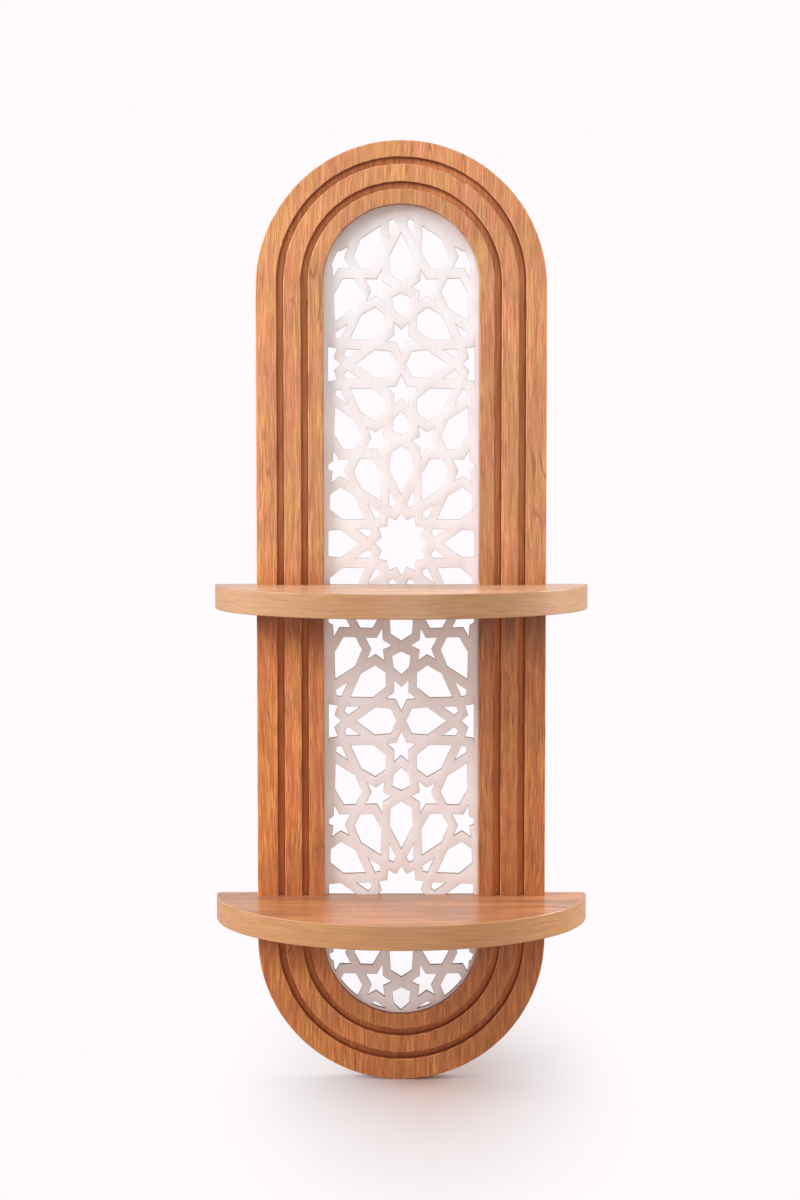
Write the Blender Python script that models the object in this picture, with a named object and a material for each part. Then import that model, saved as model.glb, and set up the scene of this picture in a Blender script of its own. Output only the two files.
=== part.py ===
# Arched wall shelf: a ringed frame, a pierced lattice in its opening and two half-oval shelves.
# X runs to the right, Y runs back to the wall at Y = 0, Z runs up. Heights below are above the
# frame's lowest point; the model's origin is the wall face at the crown of the frame.

import bpy
from math import asin, ceil, cos, pi, radians, sin, sqrt
from mathutils import Vector, geometry

# Frame, in metres
FRAME_HEIGHT = 0.700
FRAME_WIDTH = 0.215
FRAME_DEPTH = 0.014
BACKING_THICKNESS = 0.008
OUTER_RING_WIDTH = 0.0155
MIDDLE_RING_WIDTH = 0.013
INNER_RING_WIDTH = 0.0113
GROOVE_WIDTH = 0.005
CROWN_LIFT = 0.0034

# Shelves
UPPER_SHELF_TOP = 0.3734
LOWER_SHELF_TOP = 0.1400
SHELF_THICKNESS = 0.0176
SHELF_OVERHANG = 0.03165
SHELF_PROJECTION = 0.108
SHELF_CORNER_RADIUS = 0.004
EDGE_BAND_THICKNESS = 0.0012

# Lattice panels, laid in the backing's opening behind the lip of the inner face ring
LATTICE_THICKNESS = 0.003
LATTICE_SETBACK = 0.005
LIP_WIDTH = 0.0068
RAIL_HEIGHT = 0.004
FIELD_RIM = 0.0034
LOWER_FIELD_RIM = 0.0018
STRAP_WIDTH = 0.0062
SMALLEST_HOLE = 0.0008

# Rosette pattern of the lattice
PATTERN_PITCH = 0.1295
PATTERN_STRETCH = 1.1855
PATTERN_HEIGHT = 0.1379
LOWER_PANEL_SHIFT = 0.0115
STAR_TIP = 0.1917
STAR_NOTCH = 0.1472
PETAL_SHOULDER = 0.3553
PETAL_CHEEK = 0.4617
PETAL_CHEEK_ANGLE = radians(4.5)
PETAL_POINT = 0.5
SHIELD_NOTCH = 0.0914

# Fixings
SCREW_LENGTH = 0.035
SCREW_DIAMETER = 0.004
SCREW_HEAD_DIAMETER = 0.008
SCREW_HEAD_RIM = 0.0004
SCREW_TIP = 0.004
SCREW_SETBACK = 0.0004
HANGER_DROP = 0.030
HANGER_LENGTH = 0.046
HANGER_WIDTH = 0.016
HANGER_THICKNESS = 0.0016
HANGER_SETBACK = 0.0016
HANGER_POCKET_WIDTH = 0.0115
HANGER_POCKET_DEPTH = 0.007
KEYHOLE_ENTRY_DIAMETER = 0.0095
KEYHOLE_SLOT_WIDTH = 0.005
KEYHOLE_RISE = 0.012
HANGER_SCREW_INSET = 0.006
HANGER_SCREW_DIAMETER = 0.003
HANGER_SCREW_HEAD = 0.0058
HANGER_SCREW_HEAD_HEIGHT = 0.001
HANGER_SCREW_REACH = 0.0066

# Gap left at every fit and glue line, how far a cutter passes the face it opens, and the
# distance within which two points are one
FIT = 0.0003
PASS = 0.002
TOUCH = 1e-7

# Facets
ARC_STEPS = 40
SHELF_STEPS = 64
ROUND_STEPS = 24

# Places worked out from the sizes above
OUTER_HALF = FRAME_WIDTH / 2
OUTER_GROOVE_HALF = OUTER_HALF - OUTER_RING_WIDTH
MIDDLE_HALF = OUTER_GROOVE_HALF - GROOVE_WIDTH
INNER_GROOVE_HALF = MIDDLE_HALF - MIDDLE_RING_WIDTH
INNER_HALF = INNER_GROOVE_HALF - GROOVE_WIDTH
OPENING_HALF = INNER_HALF - INNER_RING_WIDTH
BACKING_HALF = OPENING_HALF + LIP_WIDTH
LOW_SPRING = OUTER_HALF
HIGH_SPRING = FRAME_HEIGHT - OUTER_HALF
STILE_MIDDLE = (OUTER_HALF + BACKING_HALF) / 2
UPPER_SHELF_UNDER = UPPER_SHELF_TOP - SHELF_THICKNESS
LOWER_SHELF_UNDER = LOWER_SHELF_TOP - SHELF_THICKNESS
LATTICE_FRONT = LATTICE_SETBACK + LATTICE_THICKNESS
FACE_BACK = BACKING_THICKNESS + FIT
SHELF_CORNER_SHARE = SHELF_CORNER_RADIUS / (FRAME_DEPTH + SHELF_PROJECTION)
SHELF_CORNER_MIDDLE = (OUTER_HALF + SHELF_OVERHANG) * sqrt(1 - SHELF_CORNER_SHARE ** 2) - SHELF_CORNER_RADIUS
MOUNT_HEIGHT = (FRAME_HEIGHT + HIGH_SPRING + CROWN_LIFT + BACKING_HALF) / 2
HANGER_HEIGHT = HIGH_SPRING - HANGER_DROP

for old in list(bpy.data.objects):
    bpy.data.objects.remove(old, do_unlink=True)


def finish(name, colour, roughness, metallic=0.0):
    # A plain surface colour for one kind of piece.
    material = bpy.data.materials.new(name)
    material.use_nodes = True
    shader = material.node_tree.nodes["Principled BSDF"]
    shader.inputs["Base Color"].default_value = (colour[0], colour[1], colour[2], 1.0)
    shader.inputs["Roughness"].default_value = roughness
    shader.inputs["Metallic"].default_value = metallic
    return material


FACE_WOOD = finish("face_wood", (0.66, 0.33, 0.13), 0.5)
BACKING_WOOD = finish("backing_wood", (0.36, 0.16, 0.06), 0.6)
SHELF_WOOD = finish("shelf_wood", (0.62, 0.32, 0.14), 0.45)
EDGE_WOOD = finish("edge_wood", (0.64, 0.36, 0.17), 0.45)
LATTICE_PAINT = finish("lattice_paint", (0.88, 0.84, 0.80), 0.55)
STEEL = finish("steel", (0.56, 0.55, 0.53), 0.35, 1.0)


def piece(name, points, faces, material):
    # One closed body from its corners and faces, lowered so that the mount is the origin.
    mesh = bpy.data.meshes.new(name)
    mesh.from_pydata([(x, y, z - MOUNT_HEIGHT) for x, y, z in points], [], faces)
    mesh.update()
    thing = bpy.data.objects.new(name, mesh)
    bpy.context.scene.collection.objects.link(thing)
    if material is None:
        thing.hide_render = True
        thing.display_type = "WIRE"
    else:
        mesh.materials.append(material)
    return thing


def cut(thing, cutter, operation="DIFFERENCE"):
    # Takes the cutter's volume out of the piece.
    step = thing.modifiers.new(cutter.name, "BOOLEAN")
    step.operation = operation
    step.solver = "EXACT"
    step.object = cutter


def join(thing, other):
    # Adds the other's volume to the piece.
    cut(thing, other, "UNION")


def turn_area(loop):
    # Twice the signed area of a flat loop, positive when it runs anticlockwise.
    total = 0.0
    for (ax, ay), (bx, by) in zip(loop, loop[1:] + loop[:1]):
        total += ax * by - bx * ay
    return total


def anticlockwise(loop):
    # The loop, turned round where it runs clockwise.
    if turn_area(loop) < 0:
        return loop[::-1]
    return loop


def arc(centre, radius, start, end, steps):
    points = []
    for i in range(steps + 1):
        angle = start + (end - start) * i / steps
        points.append((centre[0] + radius * cos(angle), centre[1] + radius * sin(angle)))
    return points


def circle(centre, radius):
    return arc(centre, radius, 0.0, 2 * pi, ROUND_STEPS)[:-1]


# Outlines of the frame


def right_edge(half, lift, low, high):
    # Right side of an upright oval of straight sides and round ends, from one height to another.
    top_spring = HIGH_SPRING + lift
    points = []
    if low < LOW_SPRING:
        start = -asin(min(1.0, (LOW_SPRING - low) / half))
        end = -asin(max(0.0, (LOW_SPRING - high) / half))
        steps = max(1, ceil((end - start) / (pi / 2) * ARC_STEPS / 2))
        points += arc((0.0, LOW_SPRING), half, start, end, steps)
    else:
        points.append((half, low))
    if high > top_spring:
        start = asin(max(0.0, (low - top_spring) / half))
        end = asin(min(1.0, (high - top_spring) / half))
        steps = max(1, ceil((end - start) / (pi / 2) * ARC_STEPS / 2))
        points += arc((0.0, top_spring), half, start, end, steps)
    elif high > LOW_SPRING:
        points.append((half, high))
    return points


def mirrored(points):
    return [(-x, z) for x, z in points]


def crown(half, lift):
    return HIGH_SPRING + lift + half


def foot(half):
    return LOW_SPRING - half


def oval(half, lift):
    # The whole oval, anticlockwise, without doubling the points on the centre line.
    right = right_edge(half, lift, foot(half), crown(half, lift))
    return right + mirrored(right[1:-1])[::-1]


def oval_slice(half, lift, low, high):
    # The part of the oval between two heights.
    right = right_edge(half, lift, max(low, foot(half)), min(high, crown(half, lift)))
    left = mirrored(right)[::-1]
    if high >= crown(half, lift):
        left = left[1:]
    if low <= foot(half):
        left = left[:-1]
    return right + left


# Solids


def prism(name, corners, triangles, place, low, high, material):
    # A flat net of triangles carried from one level to another, with a wall on each open edge.
    count = len(corners)
    points = [place(p, low) for p in corners]
    points += [place(p, high) for p in corners]
    sides = {}
    for t in triangles:
        for a, b in zip(t, t[1:] + t[:1]):
            sides[(a, b)] = True
    faces = [tuple(t[::-1]) for t in triangles]
    faces += [tuple(i + count for i in t) for t in triangles]
    for a, b in sides:
        if (b, a) not in sides:
            faces.append((a, b, b + count, a + count))
    return piece(name, points, faces, material)


def upright(p, depth):
    # Flat figures in X and Z, carried forward from the wall.
    return (p[0], -depth, p[1])


def level(p, height):
    return (p[0], p[1], height)


def net_of(loops):
    # Corners and triangles of overlapping flat loops, and which of the loops hold each triangle.
    corners = []
    rings = []
    for loop in loops:
        ring = anticlockwise(loop)
        rings.append(list(range(len(corners), len(corners) + len(ring))))
        corners += [Vector(p) for p in ring]
    net = geometry.delaunay_2d_cdt(corners, [], rings, 0, TOUCH)
    return [tuple(p) for p in net[0]], [list(f) for f in net[2]], net[5]


def trimmed(corners, triangles):
    # The same triangles with only the corners that they use.
    used = sorted({i for t in triangles for i in t})
    place = {old: new for new, old in enumerate(used)}
    return [corners[i] for i in used], [[place[i] for i in t] for t in triangles]


def plate(name, outline, holes, low, high, material, place=upright):
    # A flat figure less its holes, carried from one level to another.
    corners, triangles, homes = net_of([outline] + holes)
    kept = [t for t, inside in zip(triangles, homes) if inside == [0]]
    corners, kept = trimmed(corners, kept)
    return prism(name, corners, kept, place, low, high, material)


def box(name, low, high, material=None):
    outline = [(low[0], low[1]), (high[0], low[1]), (high[0], high[1]), (low[0], high[1])]
    triangles = [[0, 1, 2], [0, 2, 3]]
    return prism(name, outline, triangles, level, low[2], high[2], material)


def turned(profiles):
    # Points and faces of bodies turned about axes that run forward from the wall. A profile is a
    # list of (radius, depth) that starts and ends on its axis.
    points = []
    faces = []
    for (x, z), profile in profiles:
        first = len(points)
        points.append((x, -profile[0][1], z))
        for radius, depth in profile[1:-1]:
            for i in range(ROUND_STEPS):
                angle = 2 * pi * i / ROUND_STEPS
                points.append((x + radius * cos(angle), -depth, z + radius * sin(angle)))
        last = len(points)
        points.append((x, -profile[-1][1], z))
        rings = len(profile) - 2
        for i in range(ROUND_STEPS):
            j = (i + 1) % ROUND_STEPS
            faces.append((first, first + 1 + j, first + 1 + i))
            for k in range(rings - 1):
                a = first + 1 + k * ROUND_STEPS
                b = a + ROUND_STEPS
                faces.append((a + i, a + j, b + j, b + i))
            end = first + 1 + (rings - 1) * ROUND_STEPS
            faces.append((end + i, end + j, last))
    return points, faces


# Backing ring: one plain section carried round the frame


def backing_ring():
    loops = [
        (OUTER_HALF, 0.0, 0.0),
        (OUTER_HALF, 0.0, BACKING_THICKNESS),
        (BACKING_HALF, CROWN_LIFT, BACKING_THICKNESS),
        (BACKING_HALF, CROWN_LIFT, 0.0),
    ]
    points = []
    for half, lift, depth in loops:
        points += [upright(p, depth) for p in oval(half, lift)]
    count = len(points) // len(loops)
    faces = []
    for k in range(len(loops)):
        a = k * count
        b = (k + 1) % len(loops) * count
        for i in range(count):
            j = (i + 1) % count
            faces.append((a + i, a + j, b + j, b + i))
    return piece("backing_ring", points, faces, BACKING_WOOD)


# Face rings: three bands on the backing, each stopped above and below every shelf


def face_arch(name, outside, inside, low, high):
    # A round end of a band, between the oval edges (half width, lift) outside and inside.
    edges = []
    for half, lift in (outside, inside):
        right = right_edge(half, lift, max(low, foot(half)), min(high, crown(half, lift)))
        if high >= crown(half, lift):
            edges.append(right + mirrored(right[:-1])[::-1])
        else:
            edges.append(right[::-1] + mirrored(right[1:]))
    outline = edges[0] + edges[1][::-1]
    return plate(name, outline, [], FACE_BACK, FRAME_DEPTH, FACE_WOOD)


def face_strip(name, outside, inside, low, high, side):
    outer = right_edge(outside[0], outside[1], low, high)
    inner = right_edge(inside[0], inside[1], low, high)
    outline = [(side * x, z) for x, z in outer + inner[::-1]]
    return plate(name, outline, [], FACE_BACK, FRAME_DEPTH, FACE_WOOD)


BANDS = {
    "outer": ((OUTER_HALF, 0.0), (OUTER_GROOVE_HALF, CROWN_LIFT)),
    "middle": ((MIDDLE_HALF, CROWN_LIFT), (INNER_GROOVE_HALF, CROWN_LIFT)),
    "inner": ((INNER_HALF, CROWN_LIFT), (OPENING_HALF, CROWN_LIFT)),
}

for band, (outside, inside) in BANDS.items():
    face_arch(band + "_face_top_arch", outside, inside, UPPER_SHELF_TOP + FIT, FRAME_HEIGHT)
    for side, word in ((-1, "left"), (1, "right")):
        low = LOWER_SHELF_TOP + FIT
        high = UPPER_SHELF_UNDER - FIT
        face_strip(band + "_face_" + word + "_strip", outside, inside, low, high, side)
    face_arch(band + "_face_bottom_arch", outside, inside, 0.0, LOWER_SHELF_UNDER - FIT)


# Lattice: rosettes on a triangular net, drawn as the holes between straps


def polar(centre, radius, angle):
    return (centre[0] + radius * cos(angle), centre[1] + radius * sin(angle))


def rosette_holes(centre):
    # Star, kites and petals round one rosette, by strap centre lines, with the pitch as unit.
    step = pi / 6
    star = []
    figures = []
    for n in range(12):
        way = n * step
        star.append(polar(centre, STAR_TIP, way))
        star.append(polar(centre, STAR_NOTCH, way + step / 2))
        figures.append([
            polar(centre, STAR_NOTCH, way + step / 2),
            polar(centre, STAR_TIP, way),
            polar(centre, PETAL_SHOULDER, way + step / 2),
            polar(centre, STAR_TIP, way + step),
        ])
        figures.append([
            polar(centre, STAR_TIP, way),
            polar(centre, PETAL_SHOULDER, way - step / 2),
            polar(centre, PETAL_CHEEK, way - step / 2 + PETAL_CHEEK_ANGLE),
            polar(centre, PETAL_POINT, way),
            polar(centre, PETAL_CHEEK, way + step / 2 - PETAL_CHEEK_ANGLE),
            polar(centre, PETAL_SHOULDER, way + step / 2),
        ])
    figures.append(star)
    return figures


def between_holes(centre, turn):
    # Three five-pointed stars and the shield among three rosettes, round the point amid them.
    # turn is the way from that point to the first of the three.
    reach = 1 / sqrt(3)
    step = pi / 6
    cheek = step / 2 - PETAL_CHEEK_ANGLE
    shield = []
    figures = []
    for n in range(3):
        way = turn + n * 2 * pi / 3
        one = polar(centre, reach, way)
        two = polar(centre, reach, way + 2 * pi / 3)
        back_one = way + pi
        back_two = way + 2 * pi / 3 + pi
        notch = polar(centre, SHIELD_NOTCH, way + pi / 3)
        point_one = polar(one, PETAL_POINT, back_one)
        point_two = polar(two, PETAL_POINT, back_two)
        shield.append(point_one)
        shield.append(notch)
        figures.append([
            polar(one, PETAL_SHOULDER, back_one - step / 2),
            polar(one, PETAL_CHEEK, back_one - step + cheek),
            polar(one, PETAL_POINT, back_one - step),
            polar(two, PETAL_CHEEK, back_two + step - cheek),
            polar(two, PETAL_SHOULDER, back_two + step / 2),
            polar(two, PETAL_CHEEK, back_two + cheek),
            point_two,
            notch,
            point_one,
            polar(one, PETAL_CHEEK, back_one - cheek),
        ])
    figures.append(shield)
    return figures


def shrunk(loop, inset):
    # The loop drawn in by one distance on every side, or None where it closes up.
    loop = anticlockwise(loop)
    lines = []
    for (ax, ay), (bx, by) in zip(loop, loop[1:] + loop[:1]):
        length = sqrt((bx - ax) ** 2 + (by - ay) ** 2)
        ux = (bx - ax) / length
        uy = (by - ay) / length
        lines.append((ax - uy * inset, ay + ux * inset, ux, uy))
    corners = []
    for one, two in zip(lines[-1:] + lines[:-1], lines):
        cross = one[2] * two[3] - one[3] * two[2]
        if abs(cross) < TOUCH:
            corners.append((two[0], two[1]))
            continue
        t = ((two[0] - one[0]) * two[3] - (two[1] - one[1]) * two[2]) / cross
        corners.append((one[0] + t * one[2], one[1] + t * one[3]))
    for a, b, line in zip(corners, corners[1:] + corners[:1], lines):
        if (b[0] - a[0]) * line[2] + (b[1] - a[1]) * line[3] <= 0:
            return None
    return corners


def pattern_holes(low, high, rosette_height, field_half):
    # Every hole that could meet a panel between two heights, at full size.
    row = sqrt(3) / 2
    inset = STRAP_WIDTH / 2 / PATTERN_PITCH
    lift = PATTERN_PITCH * PATTERN_STRETCH
    first = int((low - rosette_height) / (row * lift)) - 3
    last = int((high - rosette_height) / (row * lift)) + 3
    columns = ceil(BACKING_HALF / PATTERN_PITCH) + 1
    holes = []
    for j in range(first, last + 1):
        for i in range(-columns, columns + 1):
            centre = (i + 0.5 * (j % 2), j * row)
            figures = rosette_holes(centre)
            figures += between_holes(polar(centre, 1 / sqrt(3), pi / 6), pi / 6 + pi)
            figures += between_holes(polar(centre, 1 / sqrt(3), pi / 2), pi / 2 + pi)
            for figure in figures:
                drawn = shrunk(figure, inset)
                if drawn is None:
                    continue
                hole = [(x * PATTERN_PITCH, rosette_height + z * lift) for x, z in drawn]
                heights = [z for x, z in hole]
                nearest = min(abs(x) for x, z in hole)
                if min(heights) < high and max(heights) > low and nearest < field_half:
                    holes.append(hole)
    return holes


def lattice(name, low, high, rosette_height, rim):
    # A panel between two heights. Its rails run on behind the shelves, and its holes stop at the
    # rim inside the frame's opening.
    half = BACKING_HALF - FIT
    field_half = OPENING_HALF - rim
    bottom = low - RAIL_HEIGHT if low > foot(half) else foot(half)
    top = high + RAIL_HEIGHT if high < crown(half, CROWN_LIFT) else crown(half, CROWN_LIFT)
    outline = oval_slice(half, CROWN_LIFT, bottom, top)
    field = oval_slice(field_half, 0.0, max(low, foot(field_half)), min(high, crown(field_half, 0.0)))
    holes = pattern_holes(low, high, rosette_height, field_half)
    corners, triangles, homes = net_of([outline, field] + holes)
    areas = {}
    owners = []
    for triangle, inside in zip(triangles, homes):
        owner = max(inside) if 1 in inside and max(inside) > 1 else 0
        owners.append(owner)
        areas[owner] = areas.get(owner, 0.0) + turn_area([corners[i] for i in triangle]) / 2
    kept = []
    for triangle, inside, owner in zip(triangles, homes, owners):
        if 0 in inside and (owner == 0 or areas[owner] < SMALLEST_HOLE ** 2):
            kept.append(triangle)
    corners, kept = trimmed(corners, kept)
    return prism(name, corners, kept, upright, LATTICE_SETBACK, LATTICE_FRONT, LATTICE_PAINT)


lattice("upper_lattice", UPPER_SHELF_TOP, FRAME_HEIGHT, PATTERN_HEIGHT, FIELD_RIM)
lattice("middle_lattice", LOWER_SHELF_TOP, UPPER_SHELF_UNDER, PATTERN_HEIGHT, FIELD_RIM)
lattice("lower_lattice", 0.0, LOWER_SHELF_UNDER, PATTERN_HEIGHT + LOWER_PANEL_SHIFT, LOWER_FIELD_RIM)


# Shelves: half ovals stopped at the backing, their tongue and ears reaching the wall


def shelf_curve(inset):
    # Rounded corner, half ellipse and rounded corner from right to left, drawn in along the normals.
    wide = OUTER_HALF + SHELF_OVERHANG
    deep = FRAME_DEPTH + SHELF_PROJECTION
    first = asin(SHELF_CORNER_SHARE)
    middle = SHELF_CORNER_MIDDLE
    corner_steps = ROUND_STEPS // 4
    corner = []
    for i in range(corner_steps):
        angle = pi / 2 * (1 - i / corner_steps)
        reach = SHELF_CORNER_RADIUS - inset
        corner.append((middle + reach * cos(angle), -SHELF_CORNER_RADIUS + reach * sin(angle)))
    points = []
    for i in range(SHELF_STEPS + 1):
        angle = first + (pi - 2 * first) * i / SHELF_STEPS
        nx = cos(angle) / wide
        ny = sin(angle) / deep
        length = sqrt(nx * nx + ny * ny)
        points.append((wide * cos(angle) - inset * nx / length, -deep * sin(angle) + inset * ny / length))
    return corner + points + mirrored(corner)[::-1]


def shelf_board(name, top, screw_bores):
    # The board stops at the backing and is eased back from the panels inside the opening. A tongue
    # runs on to the wall between the panels' rails. The ears beside the frame have a short step for
    # the band's end at each rounded corner.
    notch = OUTER_HALF + FIT
    eased = OPENING_HALF - FIT
    floor = -BACKING_THICKNESS - FIT
    band = EDGE_BAND_THICKNESS + FIT
    right_back = [
        (eased, floor - FIT),
        (eased, floor),
        (notch, floor),
        (notch, 0.0),
        (SHELF_CORNER_MIDDLE - FIT, 0.0),
        (SHELF_CORNER_MIDDLE - FIT, -band),
    ]
    outline = shelf_curve(band)
    outline += mirrored(right_back)[::-1] + right_back
    under = top - SHELF_THICKNESS
    board = plate(name, outline, [], under, top, SHELF_WOOD, level)
    half = BACKING_HALF - FIT
    rail = RAIL_HEIGHT + FIT
    join(board, box(name + "_tongue", (-half, floor - PASS, under + rail), (half, 0.0, top - rail)))
    cut(board, screw_bores)


def shelf_edge(name, top):
    outer = shelf_curve(0.0)
    inner = shelf_curve(EDGE_BAND_THICKNESS)
    corners = outer + inner
    count = len(outer)
    triangles = []
    for i in range(count - 1):
        triangles.append([i, i + count, i + 1])
        triangles.append([i + 1, i + count, i + 1 + count])
    triangles = [t if turn_area([corners[i] for i in t]) > 0 else t[::-1] for t in triangles]
    return prism(name, corners, triangles, level, top - SHELF_THICKNESS, top, EDGE_WOOD)


# Shelf screws, driven through the backing into the floor of each notch


def shelf_screw_profile(gap, start):
    head = SCREW_HEAD_DIAMETER / 2
    shank = SCREW_DIAMETER / 2
    rim = SCREW_SETBACK + SCREW_HEAD_RIM
    end = SCREW_SETBACK + SCREW_LENGTH
    return [
        (0.0, start),
        (head + gap, start),
        (head + gap, rim),
        (shank + gap, rim + head - shank),
        (shank + gap, end - SCREW_TIP),
        (0.0, end + gap),
    ]


SHELVES = {"upper_shelf": UPPER_SHELF_TOP, "lower_shelf": LOWER_SHELF_TOP}
BORES = {}
for name, top in SHELVES.items():
    height = top - SHELF_THICKNESS / 2
    for side, word in ((-1, "left"), (1, "right")):
        points, faces = turned([((side * STILE_MIDDLE, height), shelf_screw_profile(0.0, SCREW_SETBACK))])
        piece(name + "_" + word + "_screw", points, faces, STEEL)
    pair = [((side * STILE_MIDDLE, height), shelf_screw_profile(FIT, -PASS)) for side in (-1, 1)]
    points, faces = turned(pair)
    BORES[name] = piece(name + "_screw_bores", points, faces, None)
    shelf_board(name, top, BORES[name])
    shelf_edge(name + "_edge_band", top)


# Hangers: keyhole plates let into the back of the stiles, over pockets for the wall screws' heads


def slot_outline(centre, half_width, length):
    # An upright slot with round ends.
    reach = length / 2 - half_width
    top = arc((centre[0], centre[1] + reach), half_width, 0.0, pi, ROUND_STEPS // 2)
    low = arc((centre[0], centre[1] - reach), half_width, pi, 2 * pi, ROUND_STEPS // 2)
    return top + low


def keyhole(centre):
    # A round entry with a narrower slot rising from it.
    entry = KEYHOLE_ENTRY_DIAMETER / 2
    slot = KEYHOLE_SLOT_WIDTH / 2
    base = (centre[0], centre[1] - KEYHOLE_RISE / 2)
    meet = asin(slot / entry)
    points = arc(base, entry, pi / 2 + meet, 2 * pi + pi / 2 - meet, ROUND_STEPS)
    points += arc((base[0], base[1] + KEYHOLE_RISE), slot, 0.0, pi, ROUND_STEPS // 2)
    return points


def hanger_screw_profile(gap, start):
    return [
        (0.0, start),
        (HANGER_SCREW_DIAMETER / 2 + gap, start),
        (HANGER_SCREW_DIAMETER / 2 + gap, HANGER_SCREW_REACH - HANGER_SCREW_DIAMETER / 2),
        (0.0, HANGER_SCREW_REACH + gap),
    ]


backing = backing_ring()
for bores in BORES.values():
    cut(backing, bores)

plate_front = HANGER_SETBACK + HANGER_THICKNESS
head_front = HANGER_SETBACK - FIT
head_back = head_front - HANGER_SCREW_HEAD_HEIGHT
for side, word in ((-1, "left"), (1, "right")):
    centre = (side * STILE_MIDDLE, HANGER_HEIGHT)
    reach = HANGER_LENGTH / 2 - HANGER_SCREW_INSET
    ends = [(centre[0], centre[1] + way * reach) for way in (1, -1)]
    shape = slot_outline(centre, HANGER_WIDTH / 2, HANGER_LENGTH)
    holes = [keyhole(centre)] + [circle(p, HANGER_SCREW_DIAMETER / 2 + FIT) for p in ends]
    plate(word + "_hanger_plate", shape, holes, HANGER_SETBACK, plate_front, STEEL)
    for p, end in zip(ends, ("upper", "lower")):
        profile = [
            (0.0, head_back),
            (HANGER_SCREW_HEAD / 2, head_back),
            (HANGER_SCREW_HEAD / 2, head_front),
        ]
        profile += hanger_screw_profile(0.0, head_front)[1:]
        points, faces = turned([(p, profile)])
        piece(word + "_hanger_" + end + "_screw", points, faces, STEEL)
    seat = slot_outline(centre, HANGER_WIDTH / 2 + FIT, HANGER_LENGTH + 2 * FIT)
    cut(backing, plate(word + "_hanger_seat_cut", seat, [], -PASS, plate_front + FIT, None))
    pocket = slot_outline(centre, HANGER_POCKET_WIDTH / 2, KEYHOLE_RISE + HANGER_POCKET_WIDTH)
    cut(backing, plate(word + "_hanger_pocket_cut", pocket, [], -PASS, HANGER_POCKET_DEPTH, None))
    points, faces = turned([(p, hanger_screw_profile(FIT, HANGER_SETBACK)) for p in ends])
    cut(backing, piece(word + "_hanger_screw_bores", points, faces, None))
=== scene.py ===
from math import cos, pi, radians, sin

import bmesh
import bpy
import numpy as np
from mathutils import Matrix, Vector


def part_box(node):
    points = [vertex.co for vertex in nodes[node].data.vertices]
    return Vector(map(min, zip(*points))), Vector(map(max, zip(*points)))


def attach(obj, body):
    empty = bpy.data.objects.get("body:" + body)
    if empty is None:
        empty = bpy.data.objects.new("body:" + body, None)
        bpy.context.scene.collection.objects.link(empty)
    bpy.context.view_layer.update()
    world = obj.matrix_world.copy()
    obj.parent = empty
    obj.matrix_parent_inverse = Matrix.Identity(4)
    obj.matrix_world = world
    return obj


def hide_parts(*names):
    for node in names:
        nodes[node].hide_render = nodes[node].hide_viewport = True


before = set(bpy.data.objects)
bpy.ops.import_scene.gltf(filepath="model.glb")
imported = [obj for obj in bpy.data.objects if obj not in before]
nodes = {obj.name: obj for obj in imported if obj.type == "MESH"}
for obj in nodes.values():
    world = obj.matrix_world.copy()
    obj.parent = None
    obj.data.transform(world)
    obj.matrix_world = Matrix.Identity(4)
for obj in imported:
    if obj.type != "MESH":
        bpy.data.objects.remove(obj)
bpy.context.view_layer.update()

scene = bpy.context.scene
print("frame loaded:", len(nodes), "solids")

# places read from the solids, in metres; the wall is y = 0 and the front looks along -y
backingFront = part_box("backing_ring")[0].y
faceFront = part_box("outer_face_left_strip")[0].y
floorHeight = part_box("backing_ring")[0].z
shelfTop = {"upper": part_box("upper_shelf")[1].z, "lower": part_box("lower_shelf")[1].z}
shelfUnder = {"upper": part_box("upper_shelf")[0].z, "lower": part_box("lower_shelf")[0].z}
shelfWords = ("upper", "lower")
betweenShelves = shelfUnder["upper"] - 0.01  # a height that parts the upper shelf from the lower one
shelfMargin = 0.002  # how far past a shelf's underside its mask still holds


def ringEdges(ring):
    # half-widths of a ring's two edges, from its left strip
    low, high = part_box(ring + "_face_left_strip")
    return -high.x, -low.x


def springLines():
    # an arch's spring line lies its half-width from the crown; the outer edge has one of its own
    outerHalf = ringEdges("outer")[1]
    middleHalf = ringEdges("middle")[1]
    top = {"edge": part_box("outer_face_top_arch")[1].z - outerHalf,
           "groove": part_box("middle_face_top_arch")[1].z - middleHalf}
    bottom = {"edge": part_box("outer_face_bottom_arch")[0].z + outerHalf,
              "groove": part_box("middle_face_bottom_arch")[0].z + middleHalf}
    return top, bottom


topSpring, bottomSpring = springLines()


# camera at the photograph's height and distance
cameraView = {"place": (-0.0010, -1.67866, -0.20258), "tiltDown": 3.967, "lens": 67.40,
              "sensorWidth": 36.0, "nearest": 0.05}

cameraData = bpy.data.cameras.new("photoCamera")
cameraData.lens = cameraView["lens"]
cameraData.sensor_width = cameraView["sensorWidth"]
cameraData.clip_start = cameraView["nearest"]
camera = bpy.data.objects.new("photoCamera", cameraData)
camera.location = cameraView["place"]
camera.rotation_euler = (radians(90 - cameraView["tiltDown"]), 0, 0)
scene.collection.objects.link(camera)
scene.camera = camera
scene.view_settings.view_transform = "Standard"
print("camera set")


# node helpers
nodeSpacing = 200


def put(tree, kind, inputs=None, **settings):
    # one node; an input is a plain value, or a socket of another node to link from
    made = tree.nodes.new("ShaderNode" + kind)
    made.location = (nodeSpacing * len(tree.nodes), 0)
    for key, value in settings.items():
        setattr(made, key, value)
    for key, value in (inputs or {}).items():
        if isinstance(value, bpy.types.NodeSocket):
            tree.links.new(value, made.inputs[key])
        else:
            made.inputs[key].default_value = value
    return made


def calc(tree, operation, a, b=0.0, clamp=False):
    # one sum on two values
    return put(tree, "Math", {0: a, 1: b}, operation=operation, use_clamp=clamp).outputs[0]


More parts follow.
